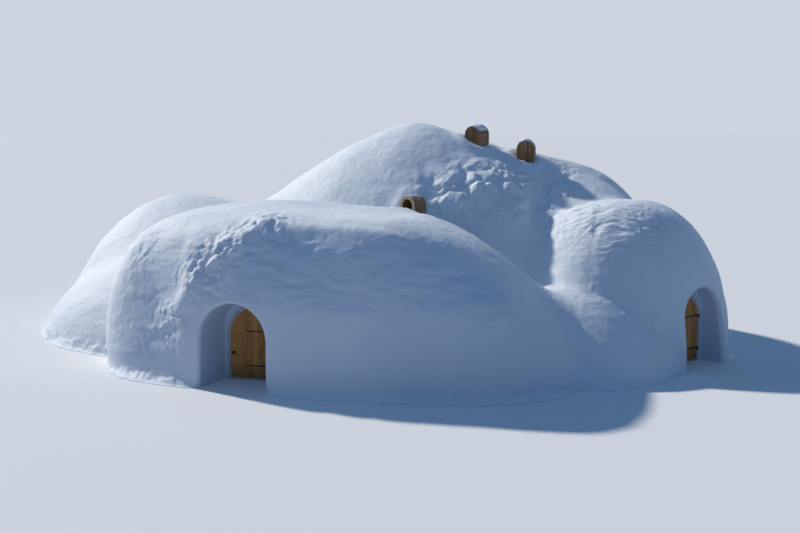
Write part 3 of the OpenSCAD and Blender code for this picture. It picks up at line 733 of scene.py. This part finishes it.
def beam(x, y, stations, put, run=1.0, cut=(0.005, 0.005), inner=0):
    """A timber: a rectangle x by y with cut corners, carried along the stations, its ends drawn in by the
    cut. put gives a point's place from its offset across, its depth and its station; run is the metres per
    station."""
    cx, cy = cut
    middle = np.linspace(x[0] + 3 * cx, x[1] - 3 * cx, inner + 2)[1:-1]
    near = [x[0] + cx, x[0] + 3 * cx, *middle, x[1] - 3 * cx, x[1] - cx]
    rise = [y[0] + cy, (y[0] + y[1]) / 2, y[1] - cy]
    across = np.array([*near, *[x[1]] * 3, *near[::-1], *[x[0]] * 3])
    depth = np.array([*[y[0]] * len(near), *rise, *[y[1]] * len(near), *rise[::-1]])
    flat = np.r_[1, np.zeros(len(near) - 2), 1]
    worn = np.concatenate([flat, [1, 0, 1], flat, [1, 0, 1]])
    first, last, ease = stations[0], stations[-1], cx / run
    middle = [t for t in stations[1:-1] if first + 3 * ease < t < last - 3 * ease]
    t = np.array([first, first + ease, first + 3 * ease, *middle, last - 3 * ease, last - ease, last])
    ends = np.zeros(len(t))
    ends[[0, 1, -2, -1]] = 1
    pull = np.ones(len(t))
    pull[[0, -1]] = 0
    a = np.clip(across, np.where(pull, x[0], x[0] + cx)[:, None], np.where(pull, x[1], x[1] - cx)[:, None])
    d = np.clip(depth, np.where(pull, y[0], y[0] + cy)[:, None], np.where(pull, y[1], y[1] - cy)[:, None])
    t = np.repeat(t[:, None], len(across), 1)
    rings = np.stack(np.broadcast_arrays(*put(a, d, t)), -1)
    lengthways = np.stack([(t - first) * run, a, d], -1) + wood_rng.uniform(0, 40, 3)
    wear = np.maximum(ends[:, None], worn)
    return rings, ringed(rings), lengthways, wear, wood_rng.uniform()


def standing(side=1):
    """Places an upright timber: its offset is x on one side, and its stations are heights."""
    return lambda a, d, t: (side * a, d, t)


def lying(a, d, t):
    """Places a level timber: its stations are x, and its offset is the height."""
    return t, d, a


def joined(name, parts, place, body, node, stuff):
    """One mesh from all the parts of a piece. Each point keeps its place along the grain, its wear and its
    board's tone as attributes."""
    points, faces, grain, wear, tone, start = [], [], [], [], [], 0
    for rings, part_faces, lengthways, worn, shade in parts:
        points.append(rings.reshape(-1, 3))
        faces += [[start + corner for corner in face] for face in part_faces]
        grain.append(lengthways.reshape(-1, 3))
        wear.append(worn.ravel())
        tone.append(np.full(len(points[-1]), shade))
        start += len(points[-1])
    piece = laid_mesh(name, placed(np.concatenate(points), place), faces)
    grain_place = piece.data.attributes.new("grain", "FLOAT_VECTOR", "POINT")
    grain_place.data.foreach_set("vector", np.concatenate(grain).astype(np.float32).ravel())
    keep_values(piece.data, {"wear": np.concatenate(wear), "tone": np.concatenate(tone)})
    piece.data.materials.append(stuff)
    shaded_smooth(piece.data, 35)
    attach(piece, body)
    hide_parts(node)


def new_effect(name, inputs, outputs):
    """A node group with named sockets, (name, type, value) each. Also gives the sockets that bring its
    inputs, and the node that takes its results."""
    group = bpy.data.node_groups.new(name, "ShaderNodeTree")
    for side, sockets in (("INPUT", inputs), ("OUTPUT", outputs)):
        for socket, kind, value in sockets:
            made = group.interface.new_socket(socket, in_out=side, socket_type=f"NodeSocket{kind}")
            if value is not None:
                made.default_value = value
    return group, group.nodes.new("NodeGroupInput").outputs, group.nodes.new("NodeGroupOutput")


# Timber grain, used for every board: growth rings and fibres drawn out along it, knots, and worn arrises.
timber_grain, given, result = new_effect(
    "timber_grain",
    [("Grain", "Vector", None), ("Tone", "Float", 0.5), ("Wear", "Float", 0.0), ("Light", "Color", None),
     ("Dark", "Color", None), ("Worn", "Color", None)],
    [("Color", "Color", None), ("Height", "Float", None), ("Roughness", "Float", None)])
tree = timber_grain
rings = texture(tree, given["Grain"], 1.3, 2, stretch=(0.7, 7.0, 4.0), bend=0.6)
rings = arithmetic(tree, "SINE", times(tree, rings, 60.0))
rings = times_plus(tree, rings, 0.5, 0.5)
fibres = texture(tree, given["Grain"], 1.0, 3, stretch=(5.0, 120.0, 120.0))
stains = texture(tree, given["Grain"], 1.6, 4, stretch=(1.2, 3.0, 3.0))
spots = shader_node(tree, "Mapping", {"Vector": given["Grain"], "Scale": (2.1, 6.5, 0.5)}).outputs[0]
spots = shader_node(tree, "TexVoronoi", {"Vector": spots, "Scale": 1.0}).outputs["Distance"]
knots = ranged(tree, spots, 0.05, 0.13, 1.0, 0.0)
share = times_plus(tree, rings, 0.34, times(tree, fibres, 0.55))
share = times_plus(tree, stains, 0.9, arithmetic(tree, "SUBTRACT", share, 0.42))
share = times_plus(tree, given["Tone"], 0.5, arithmetic(tree, "SUBTRACT", share, 0.25))
share = arithmetic(tree, "SUBTRACT", share, times(tree, knots, 0.7))
share = shader_node(tree, "Clamp", {"Value": share}).outputs[0]
colour = blended(tree, share, given["Dark"], given["Light"])
worn = times(tree, given["Wear"], times(tree, stains, 0.9))
fed(tree, result, {
    "Color": blended(tree, worn, colour, given["Worn"]),
    "Height": times_plus(tree, fibres, fibre_relief, times(tree, rings, ring_relief)),
    "Roughness": times_plus(tree, fibres, 0.35, 0.42)})

# Frost, used on timber and iron: specks and patches of blown snow, more on faces that look up.
blown_frost, given, result = new_effect(
    "blown_frost", [("Place", "Vector", None), ("Up", "Float", 0.0), ("Amount", "Float", 0.3)],
    [("Mask", "Float", None)])
tree = blown_frost
specks = texture(tree, given["Place"], 34.0, 5.0, 0.7)
patches = texture(tree, given["Place"], 4.0, 3.0)
level = times_plus(tree, arithmetic(tree, "MAXIMUM", given["Up"], 0.0), 0.30,
                   times_plus(tree, patches, 0.5, specks))
level = arithmetic(tree, "ADD", level, given["Amount"])
fed(tree, result, {"Mask": ranged(tree, level, 1.02, 1.22, 0.0, 1.0, "SMOOTHSTEP")})


def frosted(tree, amount):
    """The frost mask of a material, with its own amount."""
    normal = shader_node(tree, "NewGeometry", {}).outputs["Normal"]
    up = shader_node(tree, "SeparateXYZ", {0: normal}).outputs["Z"]
    inputs = {"Place": own_place(tree), "Up": up, "Amount": amount}
    return shader_node(tree, "Group", inputs, node_tree=blown_frost).outputs["Mask"]


def timber(name, light, dark, worn, frost, foot=None):
    """A board finish from the grain group, with frost on top and, where a foot height is given, a darker
    colour up to half a metre over it."""
    stuff, tree, shader = new_stuff(name)
    wood = shader_node(tree, "Group", {
        "Grain": attribute(tree, "grain", "Vector"), "Tone": attribute(tree, "tone"),
        "Wear": attribute(tree, "wear"), "Light": light, "Dark": dark, "Worn": worn},
        node_tree=timber_grain).outputs
    colour = wood["Color"]
    if foot is not None:
        height = shader_node(tree, "SeparateXYZ", {0: own_place(tree)}).outputs["Z"]
        # The colour grows darker towards the foot, over the lowest 0.55 m.
        foot_darkening = ranged(tree, height, foot, foot + 0.55, 0.55, 0.0, "SMOOTHSTEP")
        colour = blended(tree, foot_darkening, colour, tuple(0.45 * v for v in dark[:3]) + (1,))
    mask = frosted(tree, frost)
    height = times_plus(tree, mask, frost_relief, wood["Height"])
    fed(tree, shader, {
        "Base Color": blended(tree, mask, colour, frost_white), "Specular IOR Level": 0.35,
        "Roughness": times_plus(tree, mask, 0.25, wood["Roughness"]),
        "Normal": bumped(tree, height)})
    return stuff


def head_height(x):
    """Height of the pointed head over x: an arc of leaf_arc from the springing on each side."""
    return head_spring + np.sqrt(leaf_arc ** 2 - (np.abs(x) + head_offset) ** 2)


def head_timber(side):
    """Places a timber bent along one side of the pointed head: its offset is a radius, and its stations run
    from 0 at the springing to 1 at the point."""
    def put(a, d, t):
        """The point at a share t of the arc of radius a."""
        turn = t * np.arccos(head_offset / a)
        return side * (a * np.cos(turn) - head_offset), d, head_spring + a * np.sin(turn)
    return put


door_wood = timber("oiled_spruce", (0.74, 0.335, 0.082, 1), (0.36, 0.125, 0.024, 1), (0.50, 0.34, 0.18, 1),
                   frost=-0.10, foot=0.0)
ledge_wood = timber("ledge_spruce", (0.50, 0.27, 0.11, 1), (0.26, 0.11, 0.036, 1), (0.50, 0.38, 0.25, 1),
                    frost=-0.06)
frame_wood = timber("weathered_frame", (0.60, 0.57, 0.53, 1), (0.33, 0.31, 0.29, 1), (0.66, 0.65, 0.62, 1),
                    frost=0.10)

for name, place in door_places.items():
    door = f"{name}_door"
    joints = np.linspace(-leaf_width / 2, leaf_width / 2, leaf_boards + 1)
    joints[1:-1] += wood_rng.uniform(-board_wander, board_wander, leaf_boards - 1)
    boards = [beam((a + board_gap / 2, b - board_gap / 2), (0, leaf_thickness), np.linspace(0, 1, 9),
                   lambda a, d, t: (a, d, sill_height + t * (head_height(a) - sill_height)), leaf_height,
                   board_cut, 3) for a, b in zip(joints, joints[1:])]
    joined(f"{name}_leaf_boards", boards, place, door, f"{door}_boards", door_wood)
    ledges = [beam((z, z + ledge_height), (leaf_thickness, leaf_thickness + ledge_thickness),
                   np.linspace(-ledge_half, ledge_half, 3), lying) for z in ledge_feet]
    joined(f"{name}_leaf_ledges", ledges, place, door, f"{door}_ledges", ledge_wood)
    outer = leaf_gap + frame_width
    timbers = []
    for side in (-1, 1):
        timbers.append(beam((leaf_width / 2 + leaf_gap, leaf_width / 2 + outer), (0, frame_depth),
                            (0, head_spring - 0.001), standing(side), cut=frame_cut))
        timbers.append(beam((leaf_arc + leaf_gap, leaf_arc + outer), (0, frame_depth), np.linspace(0, 1, 16),
                            head_timber(side), cut=frame_cut))
    joined(f"{name}_frame_timbers", timbers, place, "snow_house", f"{door}_frame", frame_wood)
    sill = beam((0, sill_height - leaf_gap), (0, frame_depth),
                np.linspace(-0.5, 0.5, 3) * (leaf_width + 2 * leaf_gap), lying, cut=frame_cut)
    joined(f"{name}_sill_timber", [sill], place, "snow_house", f"{door}_sill", frame_wood)

# The doors' ironwork is forged and blackened: two tapered straps bolted across each leaf, each with an eye
# that drops over a pin on a small plate, and a round pull knob. Rust and frost show on it.
# Bolts, nails and the knob are turned from profiles of (height, radius), with heights below 0 standing out.
strap_feet, strap_height, strap_length, spear_length = (0.345, 1.225), 0.05, 0.66, 0.07
strap_thickness, hinge_x, pin_out, pin_radius = 0.006, 0.524, 0.015, 0.008
eye_radius, eye_bore, eye_cut = 0.014, 0.009, 0.002
bolt_places, strap_bolt = (0.07, 0.24, 0.41, 0.56), [(-0.005, 0.011), (-0.009, 0.011), (-0.012, 0.007)]
plate_sides, plate_bolt = (0.542, 0.587), [(-0.005, 0.007), (-0.008, 0.007), (-0.010, 0.004)]
plate_middle, plate_bolts, plate_ends = 0.565, (-0.05, 0.024), (-0.0635, 0.0365)
arm_end, arm_depth, arm_height = 0.577, 0.0198, (-0.026, -0.001)
pin_profile = [(-0.026, 0.0070), (-0.025, pin_radius), (0.062, pin_radius), (0.064, 0.0060)]
dent_relief, pit_relief = 0.0012, 0.0008
nail_head = [(0.001, 0.006), (-0.001, 0.006), (-0.002, 0.0036)]
knob_place, knob_ball = (-0.44, 0.685), 0.035
knob_profile = [(0, 0.0445), (-0.003, 0.045), (-0.005, 0.043), (-0.0055, 0.019), (-0.009, 0.014),
                (-0.030, 0.014)]
knob_profile += [(-0.050 - t, math.sqrt(knob_ball ** 2 - t ** 2)) for t in np.linspace(-0.0175, 0.0245, 8)]
knob_profile += [(-0.0755, 0.020)]

iron_stuff, tree, shader = new_stuff("blackened_iron")
place = own_place(tree)
hammered = shader_node(tree, "TexVoronoi", {"Vector": place, "Scale": 90.0, "Smoothness": 0.8},
                       feature="SMOOTH_F1")
pitted = texture(tree, place, 70.0, 5.0)
rust = ranged(tree, pitted, 0.52, 0.72, 0.0, 0.75)
colour = blended(tree, rust, (0.022, 0.022, 0.025, 1), (0.085, 0.036, 0.016, 1))
dents = times(tree, hammered.outputs["Distance"], dent_relief)
fed(tree, shader, {
    "Base Color": blended(tree, frosted(tree, -0.06), colour, frost_white), "Metallic": 0.65,
    "Roughness": times_plus(tree, rust, 0.35, 0.40),
    "Normal": bumped(tree, times_plus(tree, pitted, pit_relief, dents))})


def lathed(profile, put, count):
    """A turned shape: each (height, radius) of the profile becomes a ring of points."""
    turn = np.linspace(0, 2 * math.pi, count, endpoint=False)
    h, r = np.array(profile, float).T[..., None]
    rings = np.stack(np.broadcast_arrays(*put(r * np.cos(turn), r * np.sin(turn), h + 0 * turn)), -1)
    return rings, ringed(rings), rings, np.zeros(rings.shape[:2]), wood_rng.uniform()


def on_face(x, z):
    """Places a turned shape on the leaf's or frame's face, at x and z, standing out towards -Y."""
    return lambda a, b, h: (x + a, h, z + b)


def strap_width(t):
    """Height of a strap at t metres from its hinge: tapers to half, with a rounded spear at the tip."""
    tip = np.clip((t - strap_length + spear_length) / spear_length, 0, 1)
    spear = 1.55 * np.sqrt(np.clip(1 - tip ** 1.6, 0, 1)) + 0.05 - 0.6 * (1 - tip) ** 3
    return strap_height * (1 - 0.5 * t / strap_length) * np.where(tip > 0, spear, 1.0)


def eye_ring(z):
    """The strap's eye: a short tube round the pin, as a closed loop of rings."""
    turn = np.linspace(0, 2 * math.pi, 24, endpoint=False)
    half = strap_height / 2
    cut = eye_radius - eye_cut
    around = np.array([(eye_radius, -half + eye_cut), (eye_radius, half - eye_cut), (cut, half),
                       (eye_bore, half), (eye_bore, -half), (cut, -half)])
    r, h = around.T[..., None]
    x, y = hinge_x + r * np.cos(turn), -pin_out + r * np.sin(turn)
    rings = np.stack(np.broadcast_arrays(x, y, z + half + h), -1)
    index = np.arange(rings.shape[0] * 24).reshape(-1, 24)
    below, after = np.roll(index, -1, 0), np.roll(index, -1, 1)
    quads = np.stack([index, after, np.roll(below, -1, 1), below], -1).reshape(-1, 4)
    return rings, quads.tolist(), rings, np.zeros(rings.shape[:2]), 0.5


def strap(z):
    """A strap, flat on the boards: it runs from its hinge to the spear, where its stations lie closer."""
    middle = z + strap_height / 2
    reach = np.concatenate([np.linspace(0.004, strap_length - spear_length, 6),
                            strap_length - spear_length * np.cos(np.linspace(0.2, 1.55, 7))])
    return beam((-0.5, 0.5), (-strap_thickness, 0), reach,
                lambda a, d, t: (hinge_x - t, d, middle + a * strap_width(t)), cut=(0.03, 0.0015))


for name, place in door_places.items():
    door = f"{name}_door"
    parts = []
    for z in strap_feet:
        parts += [strap(z), eye_ring(z)]
        parts += [lathed(strap_bolt, on_face(hinge_x - t, z + strap_height / 2), 12) for t in bolt_places]
    for z in ledge_feet:
        for x in np.linspace(-0.44, 0.30, 11):
            spot = x + wood_rng.uniform(-0.012, 0.012), z + ledge_height / 2 + wood_rng.uniform(-0.02, 0.02)
            parts.append(lathed(nail_head, on_face(*spot), 10))
    joined(f"{name}_leaf_straps", parts, place, door, f"{door}_straps", iron_stuff)
    knob = lathed(knob_profile, on_face(*knob_place), 28)
    joined(f"{name}_pull_knob", [knob], place, door, f"{door}_knob", iron_stuff)
    parts = []
    for z in strap_feet:
        pin = [(z + up, radius) for up, radius in pin_profile]
        parts.append(lathed(pin, lambda a, b, h: (hinge_x + a, -pin_out + b, h), 16))
        parts.append(beam((z + arm_height[0], z + arm_height[1]), (-arm_depth, 0.0),
                          (hinge_x + 0.002, arm_end), lying, cut=(0.0015, 0.0015)))
        parts.append(beam(plate_sides, (-strap_thickness, 0.0), (z + plate_ends[0], z + plate_ends[1]),
                          standing(), cut=(0.003, 0.0015)))
        parts += [lathed(plate_bolt, on_face(plate_middle, z + up), 10) for up in plate_bolts]
    joined(f"{name}_frame_pintles", parts, place, "snow_house", f"{door}_pintles", iron_stuff)

# Air vents: a tall wooden box sunk in the snow over its shaft, with upright side planks, a roof of curved
# staves and a boarded back. Its open front is edged by a pale band bent from thin strips. A loose board lies
# against the front vent, and snow lodges on all three roofs.
vent_head, vent_hole, band_over = vent_rise - vent_width / 2, 0.19, 0.02
plank_gap, stave_gap, strip_gap, thin_cut = 0.0015, 0.006, 0.0005, (0.003, 0.003)
vent_wood = timber("vent_boards", (0.33, 0.17, 0.075, 1), (0.125, 0.058, 0.026, 1), (0.36, 0.27, 0.18, 1),
                   frost=0.02)
vent_pale = timber("vent_band", (0.58, 0.44, 0.28, 1), (0.32, 0.21, 0.11, 1), (0.60, 0.52, 0.40, 1),
                   frost=0.04)
# Snow on each vent's roof: from and to an angle in degrees, front, back and thickness.
roof_snow = {"front": (88, 168, -0.20, 0.22, 0.030), "crest": (40, 150, -0.22, 0.20, 0.045),
             "saddle": (60, 132, -0.16, 0.21, 0.050)}


def bent_strip(a, d, t):
    """Places a strip bent over the head: its offset is a radius, and its stations are angles."""
    return a * np.cos(t), d, vent_head + a * np.sin(t)


def curved_stave(a, d, t):
    """Places a stave of the roof: its offset is a radius, its depth an angle, and its stations run back."""
    return a * np.cos(d), t, vent_head + a * np.sin(d)


def back_board(a, d, t):
    """Places a board of the back, from the box's foot at station 0 to the round head over it at station 1."""
    return a, d, -vent_sink + t * (vent_sink + vent_head + np.sqrt(vent_inside ** 2 - a ** 2))


def loose_board(a, d, t):
    """Places the loose board, which slants up from the snow to the vent's side."""
    return t, d, 0.16 + 0.25 * (t + vent_width / 2) + a


def snow_cap(name, stand, low, high, front, back, thick):
    """A cushion of snow on a vent's roof, between two angles and two depths: its thickness falls off as
    1 - s^4 towards every edge, and is roughened by noise."""
    t, s = np.linspace(-1, 1, 26)[:, None], np.linspace(-1, 1, 40)
    turn = math.radians((low + high) / 2) + math.radians((high - low) / 2) * s
    y = (front + back) / 2 + (back - front) / 2 * t
    turn, y = np.broadcast_arrays(turn + 0.10 * np.sin(5 * t) * (1 - s ** 2), y)
    radius = vent_width / 2
    shape = (1 - s ** 4) * (1 - t ** 4)
    rough = snow_noise(np.stack([radius * np.cos(turn), y, radius * np.sin(turn) + stand[0]], -1), 0.11, 21)
    top = radius + 0.002 + np.maximum(thick * shape ** 0.6 * (1 + 0.45 * rough), 0)
    over, under = (np.stack([r * np.cos(turn), y, vent_head + r * np.sin(turn)], -1)
                   for r in (top, radius - 0.012))
    rings = np.concatenate([over, under[:, ::-1]], 1)
    piece = laid_mesh(name, placed(rings, stand), ringed(rings))
    count = rings[..., 0].size
    keep_values(piece.data, {mark: np.full(count, 0.4 * (mark == "broken")) for mark in snow_marks})
    piece.data.materials.append(snow_stuff)
    shaded_smooth(piece.data)
    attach(piece, "snow_house")


half, deep = vent_width / 2, vent_depth / 2
vent_inside = half - vent_board - 0.001
vent_outer = half + band_over
for name, stand in vent_stands.items():
    parts = []
    planks = np.linspace(-deep, deep, 4)
    for a, b in zip(planks, planks[1:]):
        for side in (-1, 1):
            parts.append(beam((half - vent_board, half), (a + plank_gap, b - plank_gap),
                              (-vent_sink, vent_head - 0.001), standing(side), cut=thin_cut))
    staves = np.linspace(0, math.pi, 10)
    for a, b in zip(staves, staves[1:]):
        lift = wood_rng.uniform(-0.003, 0.0)
        parts.append(beam((half - vent_board + lift, half + lift), (a + stave_gap, b - stave_gap),
                          (-deep, deep), curved_stave, cut=(0.003, 0.012)))
    backs = np.linspace(-vent_inside, vent_inside, 5)
    for a, b in zip(backs, backs[1:]):
        parts.append(beam((a + plank_gap, b - plank_gap), (deep - vent_board - 0.004, deep - 0.004),
                          np.linspace(0, 1, 7), back_board, 1.2, thin_cut, 3))
    parts.append(beam((-vent_sink, 0.06), (-deep, vent_board - deep), (-vent_inside, vent_inside), lying,
                      cut=thin_cut))
    if name == "front":
        parts.append(beam((0, 0.03), (-0.11, 0.03), (-0.66, -half), loose_board, cut=thin_cut))
    joined(f"{name}_vent_boards", parts, stand, "snow_house", f"{name}_vent_hood", vent_wood)
    parts = []
    strips = np.linspace(vent_hole, vent_outer, 4)
    for k, (a, b) in enumerate(zip(strips, strips[1:])):
        across, depth = (a + strip_gap, b - strip_gap), (-deep - vent_board + 0.004 * (k == 1), -deep)
        parts.append(beam(across, depth, np.linspace(0, math.pi, 25), bent_strip, 0.24, thin_cut))
        for side in (-1, 1):
            parts.append(beam(across, depth, (0.061, vent_head - 0.001), standing(side), cut=thin_cut))
    parts.append(beam((0.03, 0.06), (-deep - vent_board, -deep), (-vent_outer, vent_outer), lying,
                      cut=thin_cut))
    joined(f"{name}_vent_band", parts, stand, "snow_house", f"{name}_vent_mouth", vent_pale)
for name, cushion in roof_snow.items():
    snow_cap(f"snow_on_{name}_vent", vent_stands[name], *cushion)

# The studio: pale floor paper that runs into a backdrop of its own colour, one low warm key lamp on the left,
# as the sun stands in such a view, and pale blue fill light from all round.
floor_half = 150
backdrop_colour, fill_colour = (0.611, 0.658, 0.738, 1.0), (0.24, 0.52, 1.0, 1.0)
paper_lighting, paper_seen = (0.50, 0.55, 0.64, 1), (0.84, 0.84, 0.85, 1)
key_azimuth, key_height = math.radians(158), math.radians(35)
camera_place, camera_aim = Vector((10.65, -34.0, 7.5)), Vector((1.35, -1.0, 2.35))


def seen_directly(tree):
    """1 for rays from the camera and for those mirrored or let through, 0 for rays that light things."""
    path = shader_node(tree, "LightPath", {}).outputs
    seen = arithmetic(tree, "MAXIMUM", path["Is Camera Ray"], path["Is Glossy Ray"])
    return arithmetic(tree, "MAXIMUM", seen, path["Is Transmission Ray"])


floor_corners = [(x * floor_half, y * floor_half, 0) for x, y in ((-1, -1), (1, -1), (1, 1), (-1, 1))]
floor = laid_mesh("studio_floor", floor_corners, [[0, 1, 2, 3]])
paper, tree, shader = new_stuff("studio_floor_paper")
fed(tree, shader, {"Base Color": blended(tree, seen_directly(tree), paper_lighting, paper_seen),
                   "Roughness": 0.9, "Specular IOR Level": 0.1})
floor.data.materials.append(paper)

world = bpy.data.worlds.new("studio_sky")
bpy.context.scene.world = world
world.use_nodes = True
tree = world.node_tree
tree.nodes.clear()
fill = shader_node(tree, "Background", {"Color": fill_colour, "Strength": 0.31}).outputs[0]
backdrop = shader_node(tree, "Background", {"Color": backdrop_colour, "Strength": 1.0}).outputs[0]
sky = shader_node(tree, "MixShader", {0: seen_directly(tree), 1: fill, 2: backdrop}).outputs[0]
shader_node(tree, "OutputWorld", {"Surface": sky})

key = bpy.data.objects.new("studio_key", bpy.data.lights.new("studio_key", "SUN"))
bpy.context.scene.collection.objects.link(key)
key.data.energy = 3.4
key.data.color = (1.0, 0.95, 0.86)
key.data.angle = math.radians(3)
towards_sun = (math.cos(key_azimuth) * math.cos(key_height), math.sin(key_azimuth) * math.cos(key_height),
               math.sin(key_height))
key.rotation_mode = "QUATERNION"
key.rotation_quaternion = Vector(towards_sun).to_track_quat("Z", "Y")

camera = bpy.data.objects.new("camera", bpy.data.cameras.new("camera"))
bpy.context.scene.collection.objects.link(camera)
bpy.context.scene.camera = camera
camera.location = camera_place
camera.rotation_mode = "QUATERNION"
camera.rotation_quaternion = (camera_aim - camera_place).to_track_quat("-Z", "Y")
camera.data.lens = 56.0
camera.data.clip_end = 500.0
bpy.context.scene.view_settings.view_transform = "Standard"
